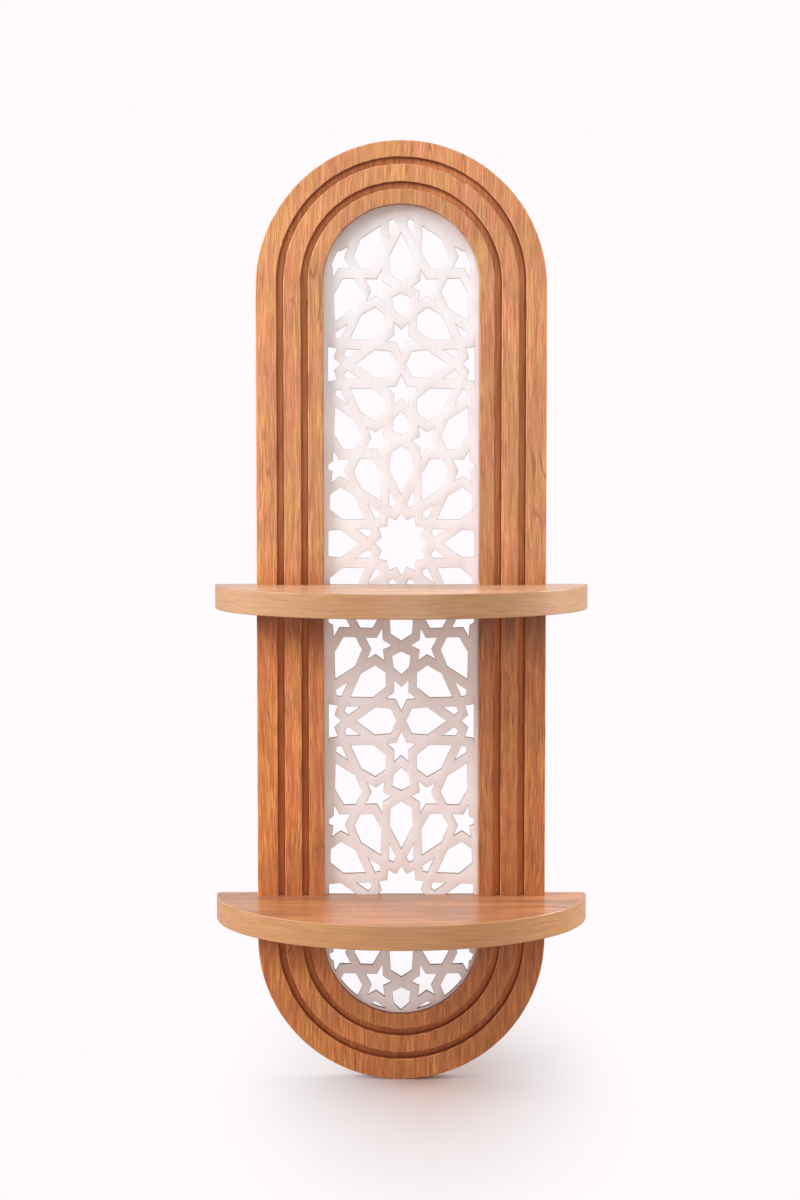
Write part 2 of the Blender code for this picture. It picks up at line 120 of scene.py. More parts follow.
def blendColour(tree, factor, a, b, mode="MIX"):
    # a towards b by factor
    made = put(tree, "Mix", {0: factor, 6: a, 7: b}, data_type="RGBA", blend_type=mode)
    return made.outputs[2]


def tinted(tree, factor, colour, tint):
    # the colour multiplied by the tint where factor is 1
    return blendColour(tree, factor, colour, tint, "MULTIPLY")


def scaled(tree, colour, factor):
    # the colour multiplied by one factor
    return put(tree, "VectorMath", {0: colour, "Scale": factor}, operation="SCALE").outputs[0]


def spread(tree, value, low, high, toLow=0.0, toHigh=1.0):
    # value stretched from low..high to toLow..toHigh, held at the ends
    return put(tree, "MapRange", {0: value, 1: low, 2: high, 3: toLow, 4: toHigh}).outputs[0]


def drawnNoise(tree, point, stretch, detail=2.0, roughness=0.5):
    # noise on the point multiplied by stretch, a long piece of grain where stretch is small
    moved = put(tree, "VectorMath", {0: point, 1: stretch}, operation="MULTIPLY").outputs[0]
    made = put(tree, "TexNoise", {"Vector": moved, "Scale": 1.0, "Detail": detail, "Roughness": roughness})
    return made.outputs[0]


def heightOf(tree, point):
    # the point's z
    return put(tree, "SeparateXYZ", {0: point}).outputs[2]


def marked(tree, label):
    # a value that a piece's mesh carries at its points
    return put(tree, "Attribute", attribute_name=label).outputs["Fac"]


def newGroup(name, inputs, outputs):
    # an empty group with named sockets and its two end nodes
    tree = bpy.data.node_groups.new(name, "ShaderNodeTree")
    for label, kind, value in inputs:
        socket = tree.interface.new_socket(label, in_out="INPUT", socket_type=kind)
        if value is not None:
            socket.default_value = value
    for label, kind in outputs:
        tree.interface.new_socket(label, in_out="OUTPUT", socket_type=kind)
    return tree, tree.nodes.new("NodeGroupInput"), tree.nodes.new("NodeGroupOutput")


def placeGroup(tree, group, inputs):
    # the group as one node, with its own values
    return put(tree, "Group", inputs, node_tree=group)


def newMaterial(name):
    # an empty material, its tree and its shader
    material = bpy.data.materials.new(name)
    material.use_nodes = True
    return material, material.node_tree, material.node_tree.nodes["Principled BSDF"]


def feel(tree, shader, rough, relief, strength, depth):
    # the roughness, and the relief as a bump
    tree.links.new(rough, shader.inputs["Roughness"])
    bump = put(tree, "Bump", {"Strength": strength, "Distance": depth, "Height": relief})
    tree.links.new(bump.outputs[0], shader.inputs["Normal"])


roughEdge = (0.3, 0.7)  # noise from here to here takes roughness from its least to its most


def variedRough(tree, value, look):
    # the look's roughness, less where the value is low and more where it is high
    rough = look["roughness"]
    return spread(tree, value, *roughEdge, rough - look["roughLess"], rough + look["roughMore"])


# veneer figure: grain runs along Z of the point that comes in; three numbers are noise cells per metre,
# and two are the values where a mark begins and is full
figureShape = {
    "waver": (7.0, 7.0, 5.0), "waverShift": 0.018, "streakLength": 0.045, "streakEdge": (0.34, 0.66),
    "band": (150.0, 150.0, 7.0), "bandEdge": (0.42, 0.70),
    "hue": (95.0, 95.0, 22.0), "hueEdge": (0.36, 0.64),
    "slow": (16.0, 16.0, 4.6), "lineEdge": (0.2, 1.0),
    "dash": (1250.0, 1250.0, 62.0), "poreEdge": (0.60, 0.72), "fleckEdge": (0.40, 0.28),
    "rift": (95.0, 95.0, 11.0), "riftEdge": (0.014, 0.004),
    "crackPatch": (30.0, 30.0, 14.0), "patchEdge": (0.56, 0.64), "poreDepth": 0.9,
}


def veneerFigureGroup():
    # streak: fine noise drawn out along Z. band and hue: the same, wider. line: a sine of x bent by slow
    # noise, so that it wavers and closes into loops. pore and fleck: short dashes above and below
    # a threshold. crack: where a long noise passes its middle value, kept only in patches.
    f = figureShape
    tree, start, end = newGroup(
        "veneerFigure",
        [("Point", "NodeSocketVector", None),
         ("Streak Width", "NodeSocketFloat", 0.0012),
         ("Line Width", "NodeSocketFloat", 0.011),
         ("Line Bend", "NodeSocketFloat", 2.4)],
        [("Streak", "NodeSocketFloat"), ("Band", "NodeSocketFloat"), ("Hue", "NodeSocketFloat"),
         ("Line", "NodeSocketFloat"), ("Pore", "NodeSocketFloat"), ("Fleck", "NodeSocketFloat"),
         ("Crack", "NodeSocketFloat"), ("Height", "NodeSocketFloat")])
    point = start.outputs["Point"]
    waver = calc(tree, "SUBTRACT", drawnNoise(tree, point, f["waver"]), 0.5)
    shift = put(tree, "CombineXYZ", {0: calc(tree, "MULTIPLY", waver, f["waverShift"])}).outputs[0]
    bent = put(tree, "VectorMath", {0: point, 1: shift}, operation="ADD").outputs[0]
    perMetre = calc(tree, "DIVIDE", 1.0, start.outputs["Streak Width"])
    drawn = calc(tree, "MULTIPLY", perMetre, f["streakLength"])
    stretch = put(tree, "CombineXYZ", {0: perMetre, 1: perMetre, 2: drawn}).outputs[0]
    streak = drawnNoise(tree, bent, stretch, detail=3.0, roughness=0.6)
    band = drawnNoise(tree, bent, f["band"])
    hue = drawnNoise(tree, bent, f["hue"], roughness=0.6)
    across = put(tree, "SeparateXYZ", {0: bent}).outputs[0]
    slow = drawnNoise(tree, point, f["slow"], roughness=0.45)
    phase = calc(tree, "ADD", calc(tree, "DIVIDE", across, start.outputs["Line Width"]),
                 calc(tree, "MULTIPLY", slow, start.outputs["Line Bend"]))
    ripple = calc(tree, "SINE", calc(tree, "MULTIPLY", phase, 2 * pi))
    line = spread(tree, ripple, *f["lineEdge"])
    dash = drawnNoise(tree, bent, f["dash"], detail=1.0)
    pore = spread(tree, dash, *f["poreEdge"])
    fleck = spread(tree, dash, *f["fleckEdge"])
    rift = calc(tree, "SUBTRACT", drawnNoise(tree, bent, f["rift"], detail=1.0), 0.5)
    rift = calc(tree, "ABSOLUTE", rift)
    patch = spread(tree, drawnNoise(tree, point, f["crackPatch"], detail=1.0), *f["patchEdge"])
    crack = calc(tree, "MULTIPLY", spread(tree, rift, *f["riftEdge"]), patch)
    sunk = calc(tree, "MULTIPLY", calc(tree, "MAXIMUM", pore, crack), f["poreDepth"])
    height = calc(tree, "SUBTRACT", streak, sunk)
    for label, value in (("Streak", streak), ("Band", band), ("Hue", hue), ("Line", line), ("Pore", pore),
                         ("Fleck", fleck), ("Crack", crack), ("Height", height)):
        tree.links.new(value, end.inputs[label])
    return tree


def handlingMottleGroup():
    # mottle: soft patches a few centimetres wide. speck: fine dust and pinholes.
    tree, start, end = newGroup(
        "handlingMottle",
        [("Point", "NodeSocketVector", None),
         ("Patch", "NodeSocketFloat", 28.0),
         ("Grit", "NodeSocketFloat", 900.0)],
        [("Mottle", "NodeSocketFloat"), ("Speck", "NodeSocketFloat")])
    for size, detail, label in (("Patch", 4.0, "Mottle"), ("Grit", 2.0, "Speck")):
        noise = put(tree, "TexNoise", {"Vector": start.outputs["Point"], "Scale": start.outputs[size],
                                       "Detail": detail})
        tree.links.new(noise.outputs[0], end.inputs[label])
    return tree


veneerFigure = veneerFigureGroup()
handlingMottle = handlingMottleGroup()


def veneerColour(tree, point, look, deeper=None):
    # light wood towards dark by the streaks, tinted from honey to rose by the hue, darker in the bands, then
    # lines, flecks, pores and cracks on top; deeper, from 0 to 1, strengthens bands and marks
    figure = placeGroup(tree, veneerFigure, {
        "Point": point, "Streak Width": look["streakWidth"], "Line Width": look["lineWidth"],
        "Line Bend": look["lineBend"]})
    fine = spread(tree, figure.outputs["Streak"], *figureShape["streakEdge"])
    colour = blendColour(tree, fine, look["light"], look["dark"])
    warmth = spread(tree, figure.outputs["Hue"], *figureShape["hueEdge"])
    colour = tinted(tree, 1.0, colour, blendColour(tree, warmth, look["honey"], look["rose"]))
    gain = 1.0
    if deeper is not None:
        gain = calc(tree, "ADD", calc(tree, "MULTIPLY", deeper, look["deeperGain"]), 1.0)
    wide = spread(tree, figure.outputs["Band"], *figureShape["bandEdge"])
    wide = calc(tree, "MULTIPLY", wide, look["bandShare"])
    colour = blendColour(tree, calc(tree, "MULTIPLY", wide, gain, clamp=True), colour, look["bandColour"])
    for label, share, shade in (("Line", "lineShare", "lineColour"), ("Fleck", "fleckShare", "fleckColour"),
                                ("Pore", "poreShare", "poreColour"), ("Crack", "crackShare", "poreColour")):
        mask = calc(tree, "MULTIPLY", figure.outputs[label], look[share])
        colour = blendColour(tree, calc(tree, "MULTIPLY", mask, gain, clamp=True), colour, look[shade])
    return colour, figure


satinLook = {"streakRough": 0.16, "streakMiddle": 0.13, "patchRough": 0.1, "grainDepth": 0.0004}


def satin(tree, shader, figure, mottle, look):
    # roughness = the look's own - streakMiddle + shares of the streaks and patches; the grain stands up
    # as a faint bump
    rough = calc(tree, "MULTIPLY_ADD", figure.outputs["Streak"], satinLook["streakRough"])
    rough.node.inputs[2].default_value = look["roughness"] - satinLook["streakMiddle"]
    patch = calc(tree, "MULTIPLY", mottle.outputs["Mottle"], satinLook["patchRough"])
    rough = calc(tree, "ADD", rough, patch, clamp=True)
    feel(tree, shader, rough, figure.outputs["Height"], look["bump"], satinLook["grainDepth"])


# the wood deepens through the upper shelf, and from the lower shelf to the foot it darkens with painted
# shade
deepenStart = 0.03


def belowUpper(tree, height):
    # from 0, a little above the upper shelf, to 1 at its underside and below
    return spread(tree, height, shelfTop["upper"] + deepenStart, shelfUnder["upper"])


def towardsFoot(tree, height):
    # from 0 under the lower shelf to 1 at the floor
    return spread(tree, height, shelfUnder["lower"], floorHeight)


def shadowUnderShelf(tree, height, word, reach):
    # mask of the painted shadow under a shelf: from 0, reach below the shelf, to 1 at its underside, and 0
    # above it
    rise = spread(tree, height, shelfUnder[word] - reach, shelfUnder[word])
    return calc(tree, "MULTIPLY", rise, calc(tree, "LESS_THAN", height, shelfUnder[word] + shelfMargin))


def shadeAboveShelf(tree, height, word, reach):
    # mask of the painted shade just above a shelf: from 0, reach above the shelf, to 1 at its top, and 0
    # below it
    fall = spread(tree, height, shelfTop[word] + reach, shelfTop[word])
    return calc(tree, "MULTIPLY", fall, calc(tree, "GREATER_THAN", height, shelfUnder[word] + shelfMargin))


# face rings: upright veneer, deeper below the upper shelf, with painted shade under and just above each
# shelf and towards the foot, scorched on the groove walls and with a painted highlight along the edges
faceLook = {
    "light": (0.735, 0.374, 0.168, 1), "dark": (0.43, 0.182, 0.070, 1),
    "honey": (1.01, 1.07, 0.84, 1), "rose": (1.03, 0.86, 0.98, 1),
    "bandColour": (0.50, 0.212, 0.080, 1), "bandShare": 0.45,
    "lineColour": (0.38, 0.145, 0.050, 1), "lineShare": 0.22, "lineWidth": 0.011, "lineBend": 2.4,
    "fleckColour": (0.88, 0.53, 0.28, 1), "fleckShare": 0.32,
    "poreColour": (0.26, 0.085, 0.028, 1), "poreShare": 0.40, "crackShare": 0.60,
    "deeperGain": 0.7, "streakWidth": 0.0009, "roughness": 0.46, "bump": 0.25,
    "lowTint": (1.02, 0.80, 0.55, 1), "footShadeTint": (0.76, 0.76, 0.69, 1),
    "underShelfShadowTint": (0.46, 0.31, 0.19, 1), "underShelfShadowReach": 0.045,
    "aboveShelfShadeTint": {"upper": (0.89, 0.96, 0.93, 1), "lower": (0.84, 0.80, 0.76, 1)}, "aboveShelfShadeReach": 0.07,
    "patchEdge": (0.36, 0.64), "patchTone": (0.93, 1.095),
    "scorch": (0.24, 0.060, 0.018, 1), "scorchShare": 0.65,
    # worn: the colour of the painted highlight along the arrises
    "worn": (0.90, 0.56, 0.40, 1), "arrisHighlightShare": 0.60,
    "highlightBreakup": (160.0, 160.0, 40.0), "highlightBreakupEdge": (0.40, 0.62),
}


def faceVeneer():
    # veneer tinted by height, with painted shade under and just above each shelf and towards the foot, times
    # the piece's tone, which carries a painted left-to-right shade, and slow patches, then scorched where
    # the mesh says cut wall, with a painted highlight in places where it says arris
    material, tree, shader = newMaterial("faceVeneer")
    point = put(tree, "TexCoord").outputs["Object"]
    height = heightOf(tree, point)
    low = belowUpper(tree, height)
    colour, figure = veneerColour(tree, point, faceLook, low)
    colour = tinted(tree, low, colour, faceLook["lowTint"])
    # painted shade: darker towards the floor
    colour = tinted(tree, towardsFoot(tree, height), colour, faceLook["footShadeTint"])
    for word in shelfWords:
        # painted shadow under each shelf
        under = shadowUnderShelf(tree, height, word, faceLook["underShelfShadowReach"])
        colour = tinted(tree, under, colour, faceLook["underShelfShadowTint"])
        # painted shade just above each shelf
        aboveShade = shadeAboveShelf(tree, height, word, faceLook["aboveShelfShadeReach"])
        colour = tinted(tree, aboveShade, colour, faceLook["aboveShelfShadeTint"][word])
    mottle = placeGroup(tree, handlingMottle, {"Point": point})
    patch = spread(tree, mottle.outputs["Mottle"], *faceLook["patchEdge"], *faceLook["patchTone"])
    colour = scaled(tree, colour, calc(tree, "MULTIPLY", marked(tree, "tone"), patch))
    wall = calc(tree, "MULTIPLY", marked(tree, "cutWall"), faceLook["scorchShare"])
    colour = blendColour(tree, wall, colour, faceLook["scorch"])
    # painted highlight along the arrises, broken into streaks; the worn colour is this highlight
    arrisHighlight = spread(tree, drawnNoise(tree, point, faceLook["highlightBreakup"]), *faceLook["highlightBreakupEdge"])
    arrisHighlight = calc(tree, "MULTIPLY", marked(tree, "arris"), arrisHighlight)
    worn = tinted(tree, low, faceLook["worn"], faceLook["lowTint"])
    colour = blendColour(tree, calc(tree, "MULTIPLY", arrisHighlight, faceLook["arrisHighlightShare"]), colour, worn)
    tree.links.new(colour, shader.inputs["Base Color"])
    satin(tree, shader, figure, mottle, faceLook)
    return material


# shelf boards: veneer lying along X, and a paler band round the edge
shelfLook = {
    "light": (0.585, 0.234, 0.070, 1), "dark": (0.37, 0.132, 0.034, 1),
    "honey": (1.0, 1.05, 0.85, 1), "rose": (1.0, 0.93, 1.10, 1),
    "bandColour": (0.32, 0.125, 0.042, 1), "bandShare": 0.50,
    "lineColour": (0.28, 0.098, 0.032, 1), "lineShare": 0.30, "lineWidth": 0.012, "lineBend": 2.0,
    "fleckColour": (0.64, 0.32, 0.14, 1), "fleckShare": 0.32,
    "poreColour": (0.24, 0.083, 0.028, 1), "poreShare": 0.45, "crackShare": 0.35,
    "streakWidth": 0.0014, "roughness": 0.29, "bump": 0.10,
    "broad": (80.0, 80.0, 11.0), "broadEdge": (0.36, 0.64), "broadTone": (0.74, 1.14),
    "upperShelfPaintedReflection": (1.27, 1.58, 2.14, 1),
    "coat": 0.12, "coatRoughness": 0.22, "sheen": 0.10, "sheenRoughness": 0.3,
}
bandLook = {
    "light": (0.505, 0.301, 0.164, 1), "dark": (0.388, 0.213, 0.106, 1),
    "honey": (1.0, 1.03, 0.90, 1), "rose": (1.0, 0.96, 1.08, 1),
    "bandColour": (0.43, 0.230, 0.113, 1), "bandShare": 0.35,
    "lineColour": (0.34, 0.172, 0.078, 1), "lineShare": 0.12, "lineWidth": 0.007, "lineBend": 1.2,
    "fleckColour": (0.62, 0.38, 0.22, 1), "fleckShare": 0.20,
    "poreColour": (0.30, 0.142, 0.062, 1), "poreShare": 0.26, "crackShare": 0.15,
    "streakWidth": 0.0013, "roughness": 0.32, "bump": 0.14,
    "lowTint": (1.03, 0.955, 0.85, 1),
}


def lyingGrain(tree, coordinates):
    # the coordinates turned a quarter about Y, so that the grain runs along X
    return put(tree, "Mapping", {"Vector": coordinates, "Rotation": (0, radians(90), 0)}).outputs[0]


def shelfVeneer():
    # lying veneer times broad slow streaks, paler on the upper shelf as a painted reflection, under a thin
    # coat
    material, tree, shader = newMaterial("shelfVeneer")
    coordinates = put(tree, "TexCoord").outputs["Object"]
    point = lyingGrain(tree, coordinates)
    colour, figure = veneerColour(tree, point, shelfLook)
    broad = drawnNoise(tree, point, shelfLook["broad"])
    colour = scaled(tree, colour, spread(tree, broad, *shelfLook["broadEdge"], *shelfLook["broadTone"]))
    # painted reflection: the upper shelf is paler, as its grazing top mirrors the bright backdrop
    high = calc(tree, "GREATER_THAN", heightOf(tree, coordinates), betweenShelves)
    colour = tinted(tree, high, colour, shelfLook["upperShelfPaintedReflection"])
    tree.links.new(colour, shader.inputs["Base Color"])
    mottle = placeGroup(tree, handlingMottle, {"Point": coordinates})
    satin(tree, shader, figure, mottle, shelfLook)
    for label, key in (("Coat Weight", "coat"), ("Coat Roughness", "coatRoughness"),
                       ("Sheen Weight", "sheen"), ("Sheen Roughness", "sheenRoughness")):
        shader.inputs[label].default_value = shelfLook[key]
    return material


def bandVeneer():
    # lying veneer that follows the band's own length, a little warmer on the lower shelf
    material, tree, shader = newMaterial("bandVeneer")
    coordinates = put(tree, "Attribute", attribute_name="bandPlace").outputs["Vector"]
    colour, figure = veneerColour(tree, lyingGrain(tree, coordinates), bandLook)
    low = calc(tree, "LESS_THAN", heightOf(tree, coordinates), betweenShelves)
    colour = tinted(tree, low, colour, bandLook["lowTint"])
    tree.links.new(colour, shader.inputs["Base Color"])
    mottle = placeGroup(tree, handlingMottle, {"Point": coordinates})
    satin(tree, shader, figure, mottle, bandLook)
    return material


# backing: the same upright grain, its groove floors brightened with painted light and darkening towards the
# outer wall with painted shade
backingLook = {
    "light": (0.70, 0.335, 0.140, 1), "dark": (0.45, 0.185, 0.069, 1),
    "honey": (1.0, 1.03, 0.85, 1), "rose": (1.0, 0.94, 1.10, 1),
    "bandColour": (0.44, 0.180, 0.066, 1), "bandShare": 0.40,
    "lineColour": (0.38, 0.130, 0.042, 1), "lineShare": 0.18, "lineWidth": 0.011, "lineBend": 2.4,
    "fleckColour": (0.86, 0.46, 0.22, 1), "fleckShare": 0.2,
    "poreColour": (0.20, 0.065, 0.022, 1), "poreShare": 0.35, "crackShare": 0.4,
    "streakWidth": 0.0014, "roughness": 0.6, "bump": 0.25,
    "lowTint": (0.95, 0.74, 0.52, 1), "footShadeTint": (0.66, 0.66, 0.62, 1),
    "grooveFloorPaintedLight": (1.40, 1.22, 1.06, 1), "stileFloorPaintedLight": (1.20, 1.04, 0.90, 1),
    "grooveTint": (0.30, 0.12, 0.06, 1), "grooveStart": 0.30, "stileShade": 0.55,
    "crownFrom": -0.01, "crownFull": 0.06, "wallMargin": 0.001, "frontMargin": 0.0003,
}


def archRadius(tree, x, beyond):
    # distance from the middle line, or from the arch's centre where the point lies beyond the spring line
    return calc(tree, "SQRT", calc(tree, "ADD", calc(tree, "MULTIPLY", x, x),
                                   calc(tree, "MULTIPLY", beyond, beyond)))


def grooveShade(tree, point):
    # in each groove shade is the square of the way from the inner ring to the outer one, weaker below the
    # crown. front is 1 on the front face only, and crown rises from 0 to 1 above the upper spring line.
    b = backingLook
    x, y, z = put(tree, "SeparateXYZ", {0: point}).outputs
    crown = spread(tree, z, topSpring["groove"] + b["crownFrom"], topSpring["groove"] + b["crownFull"])
    above = calc(tree, "SUBTRACT", z, topSpring["groove"])
    below = calc(tree, "SUBTRACT", bottomSpring["groove"], z)
    radius = archRadius(tree, x, calc(tree, "MAXIMUM", calc(tree, "MAXIMUM", above, below), 0.0))
    shade = 0.0
    for near, far in (("inner", "middle"), ("middle", "outer")):
        start, end = ringEdges(near)[1], ringEdges(far)[0]
        begin = start + (end - start) * b["grooveStart"]
        run = calc(tree, "POWER", spread(tree, radius, begin, end), 2.0)
        run = calc(tree, "MULTIPLY", run, calc(tree, "LESS_THAN", radius, end + b["wallMargin"]))
        shade = calc(tree, "MAXIMUM", shade, run)
    shade = calc(tree, "MULTIPLY", shade, spread(tree, crown, 0.0, 1.0, b["stileShade"], 1.0))
    front = calc(tree, "LESS_THAN", y, backingFront + b["frontMargin"])
    return calc(tree, "MULTIPLY", shade, front), front, crown


def backingVeneerGrooveShade():
    # veneer tinted by height, with painted shade towards the foot, painted light on the front face and the
    # groove's painted shade
    material, tree, shader = newMaterial("backingVeneerGrooveShade")
    point = put(tree, "TexCoord").outputs["Object"]
    colour, figure = veneerColour(tree, point, backingLook)
    height = heightOf(tree, point)
    colour = tinted(tree, belowUpper(tree, height), colour, backingLook["lowTint"])
    # painted shade: darker towards the floor
    colour = tinted(tree, towardsFoot(tree, height), colour, backingLook["footShadeTint"])
    shade, front, crown = grooveShade(tree, point)
    # painted light brightening the groove floors, more at the crown than on the stiles
    paintedLight = blendColour(tree, crown, backingLook["stileFloorPaintedLight"], backingLook["grooveFloorPaintedLight"])
    colour = tinted(tree, front, colour, paintedLight)
    colour = tinted(tree, shade, colour, backingLook["grooveTint"])
    tree.links.new(colour, shader.inputs["Base Color"])
    mottle = placeGroup(tree, handlingMottle, {"Point": point})
    satin(tree, shader, figure, mottle, backingLook)
    return material


# lattice: whitewash with the wood's grain faint under it, brown scorched walls where the sheet was cut
latticeLook = {
    "paint": (0.815, 0.855, 0.93, 1), "worn": (0.765, 0.755, 0.80, 1), "lowTint": (1.0, 0.945, 0.915, 1),
    "patch": 60.0, "grit": 1400.0, "coverEdge": (0.38, 0.66),
    "brush": (700.0, 700.0, 60.0), "brushShare": 0.4,
    "crownShadow": (0.80, 0.72, 0.68, 1), "crownShadowReach": 0.020, "crownShadowInset": 0.003, "crownShadowRise": (0.015, 0.045),
    "singed": (0.70, 0.61, 0.56, 1), "ledge": (0.18, 0.11, 0.08, 1), "highRim": 0.45, "rimEdge": (0.0, 0.14),
    "cutLight": (0.14, 0.085, 0.06, 1), "cutDark": (0.05, 0.03, 0.022, 1), "cutFlow": (900.0, 260.0, 900.0),
    "cutEdge": (0.45, 1.0), "roughness": 0.5, "roughLess": 0.07, "roughMore": 0.09,
    "speckShare": 0.6, "bump": 0.14, "bumpDepth": 0.0003,
}


def crownShadowMask(tree, point):
    # mask of the painted shadow that the crown casts on the lattice: 1 at the inner ring's edge, falling to
    # 0 at the reach inside it; only above the spring line, and more towards the crown
    place = put(tree, "SeparateXYZ", {0: point}).outputs
    above = calc(tree, "MAXIMUM", calc(tree, "SUBTRACT", place[2], topSpring["groove"]), 0.0)
    edge = ringEdges("inner")[0]
    near = spread(tree, archRadius(tree, place[0], above), edge - latticeLook["crownShadowReach"],
                  edge - latticeLook["crownShadowInset"])
    return calc(tree, "MULTIPLY", near, spread(tree, above, *latticeLook["crownShadowRise"]))


def latticePaint():
    # paint towards worn by patches and brush strokes, with a painted warm shade below the upper shelf and
    # the crown's painted shadow near the crown; from the face inwards it turns to the singed rim, darker
    # where it looks up, and then to the scorched cut
    material, tree, shader = newMaterial("latticePaint")
    k = latticeLook
    point = put(tree, "TexCoord").outputs["Object"]
    mottle = placeGroup(tree, handlingMottle, {"Point": point, "Patch": k["patch"], "Grit": k["grit"]})
    brushed = drawnNoise(tree, point, k["brush"], detail=3.0, roughness=0.6)
    cover = calc(tree, "ADD", calc(tree, "MULTIPLY", mottle.outputs["Mottle"], 1 - k["brushShare"]),
                 calc(tree, "MULTIPLY", brushed, k["brushShare"]))
    paint = blendColour(tree, spread(tree, cover, *k["coverEdge"]), k["paint"], k["worn"])
    # painted warm shade below the upper shelf
    low = spread(tree, heightOf(tree, point), shelfTop["upper"], shelfUnder["upper"])
    paint = tinted(tree, low, paint, k["lowTint"])
    # painted shadow that the crown casts on the lattice
    paint = tinted(tree, crownShadowMask(tree, point), paint, k["crownShadow"])
    inward = marked(tree, "inward")
    rim = blendColour(tree, marked(tree, "upward"), k["singed"], k["ledge"])
    edge = calc(tree, "MULTIPLY", spread(tree, inward, *k["rimEdge"]),
                spread(tree, low, 0.0, 1.0, k["highRim"], 1.0))
    colour = blendColour(tree, edge, paint, rim)
    cut = blendColour(tree, drawnNoise(tree, point, k["cutFlow"]), k["cutLight"], k["cutDark"])
    colour = blendColour(tree, spread(tree, inward, *k["cutEdge"]), colour, cut)
    tree.links.new(colour, shader.inputs["Base Color"])
    rough = variedRough(tree, mottle.outputs["Mottle"], k)
    relief = calc(tree, "ADD", calc(tree, "MULTIPLY", mottle.outputs["Speck"], k["speckShare"]), brushed)
    feel(tree, shader, rough, relief, k["bump"], k["bumpDepth"])
    return material


# fixings: zinc plate, rolled along X
steelLook = {"bright": (0.66, 0.66, 0.64, 1), "dull": (0.44, 0.44, 0.42, 1), "dullEdge": (0.35, 0.65),
             "patch": 160.0, "grit": 2600.0, "rolled": (240.0, 3000.0, 3000.0),
             "roughness": 0.34, "roughLess": 0.08, "roughMore": 0.12, "bump": 0.1, "bumpDepth": 0.0002}


def zincPlate():
    # bright towards dull by the mean of patches and rolling marks
    material, tree, shader = newMaterial("zincPlate")
    k = steelLook
    point = put(tree, "TexCoord").outputs["Object"]
    mottle = placeGroup(tree, handlingMottle, {"Point": point, "Patch": k["patch"], "Grit": k["grit"]})
    rolled = drawnNoise(tree, point, k["rolled"])
    tint = calc(tree, "MULTIPLY", calc(tree, "ADD", mottle.outputs["Mottle"], rolled), 0.5)
    colour = blendColour(tree, spread(tree, tint, *k["dullEdge"]), k["bright"], k["dull"])
    tree.links.new(colour, shader.inputs["Base Color"])
    shader.inputs["Metallic"].default_value = 1.0
    rough = variedRough(tree, mottle.outputs["Speck"], k)
    feel(tree, shader, rough, rolled, k["bump"], k["bumpDepth"])
    return material


faceWood, shelfWood, bandWood = faceVeneer(), shelfVeneer(), bandVeneer()
backingWood, latticeWhite, zinc = backingVeneerGrooveShade(), latticePaint(), zincPlate()
print("finishes made:", len(bpy.data.node_groups), "shared effects")


# mesh helpers
smoothAngle = 38  # degrees; a sharper edge stays sharp


def sweptFaces(stations, around):
    # quads between neighbouring stations of a closed profile, and one face over each end
    row = np.arange(stations - 1)[:, None] * around
    here = row + np.arange(around)[None, :]
    beside = row + (np.arange(around)[None, :] + 1) % around
    quads = np.stack([here, beside, beside + around, here + around], axis=-1).reshape(-1, 4).tolist()
    ends = [np.arange(around)[::-1].tolist(), ((stations - 1) * around + np.arange(around)).tolist()]
    return quads + ends


def facesOut(points, faces):
    # the sign of the enclosed volume, summed over fans of triangles, says whether to turn the faces round
    quads = np.array([f for f in faces if len(f) == 4])
    a, b, c, d = (points[quads[:, k]] for k in range(4))
    volume = np.einsum("ij,ij->i", a, np.cross(b, c)).sum() + np.einsum("ij,ij->i", a, np.cross(c, d)).sum()
    for cap in (f for f in faces if len(f) != 4):
        p = points[cap]
        first = np.broadcast_to(p[0], p[1:-1].shape)
        volume += np.einsum("ij,ij->i", first, np.cross(p[1:-1], p[2:])).sum()
    return faces if volume > 0 else [f[::-1] for f in faces]


def dressed(mesh, node, material, values=None, vectors=None):
    # a finished mesh with its point values, standing for its solid
    for arrays, kind, field in ((values, "FLOAT", "value"), (vectors, "FLOAT_VECTOR", "vector")):
        for label, array in (arrays or {}).items():
            place = mesh.attributes.new(label, kind, "POINT")
            place.data.foreach_set(field, array.ravel().astype(np.float32))
    mesh.shade_smooth()
    mesh.set_sharp_from_angle(angle=radians(smoothAngle))
    mesh.materials.clear()
    mesh.materials.append(material)
    piece = bpy.data.objects.new(mesh.name, mesh)
    scene.collection.objects.link(piece)
    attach(piece, "root")
    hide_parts(node)
    return piece


def newPiece(name, points, node, material, values=None, vectors=None):
    # one closed mesh from a grid of points: stations along a path x points round a profile
    faces = sweptFaces(*points.shape[:2])
    points = points.reshape(-1, 3)
    mesh = bpy.data.meshes.new(name)
    mesh.from_pydata(points.tolist(), [], facesOut(points, faces))
    return dressed(mesh, node, material, values, vectors)


# face rings: a flat strip with softened front edges, carried up, round the arch and down again
ringShape = {"edgeRadius": 0.0008, "edgeSteps": 5, "edgeFlat": 1.5, "archSteps": 144, "straightSteps": 6,
             "glueLine": 0.00002, "wallFade": 0.3, "tone": {"outer": 1.03, "middle": 1.0, "inner": 0.91},
             "sideShadeShare": 0.05, "lowTone": 0.92, "lowSideShadeShare": 0.13, "lowMargin": 0.001}


def archPath(half, spring, start, sign):
    # straight from the start to the spring line, a half circle of radius half, and straight back
    steps = np.linspace(0, 1, ringShape["straightSteps"], endpoint=False)
    angle = np.linspace(pi, 0, ringShape["archSteps"])
    rise = start + (spring - start) * steps
    x = np.concatenate([np.full(steps.size, -half), half * np.cos(angle), np.full(steps.size, half)])
    z = np.concatenate([rise, spring + sign * half * np.sin(angle), rise[::-1]])
    return np.stack([x, z], axis=-1)


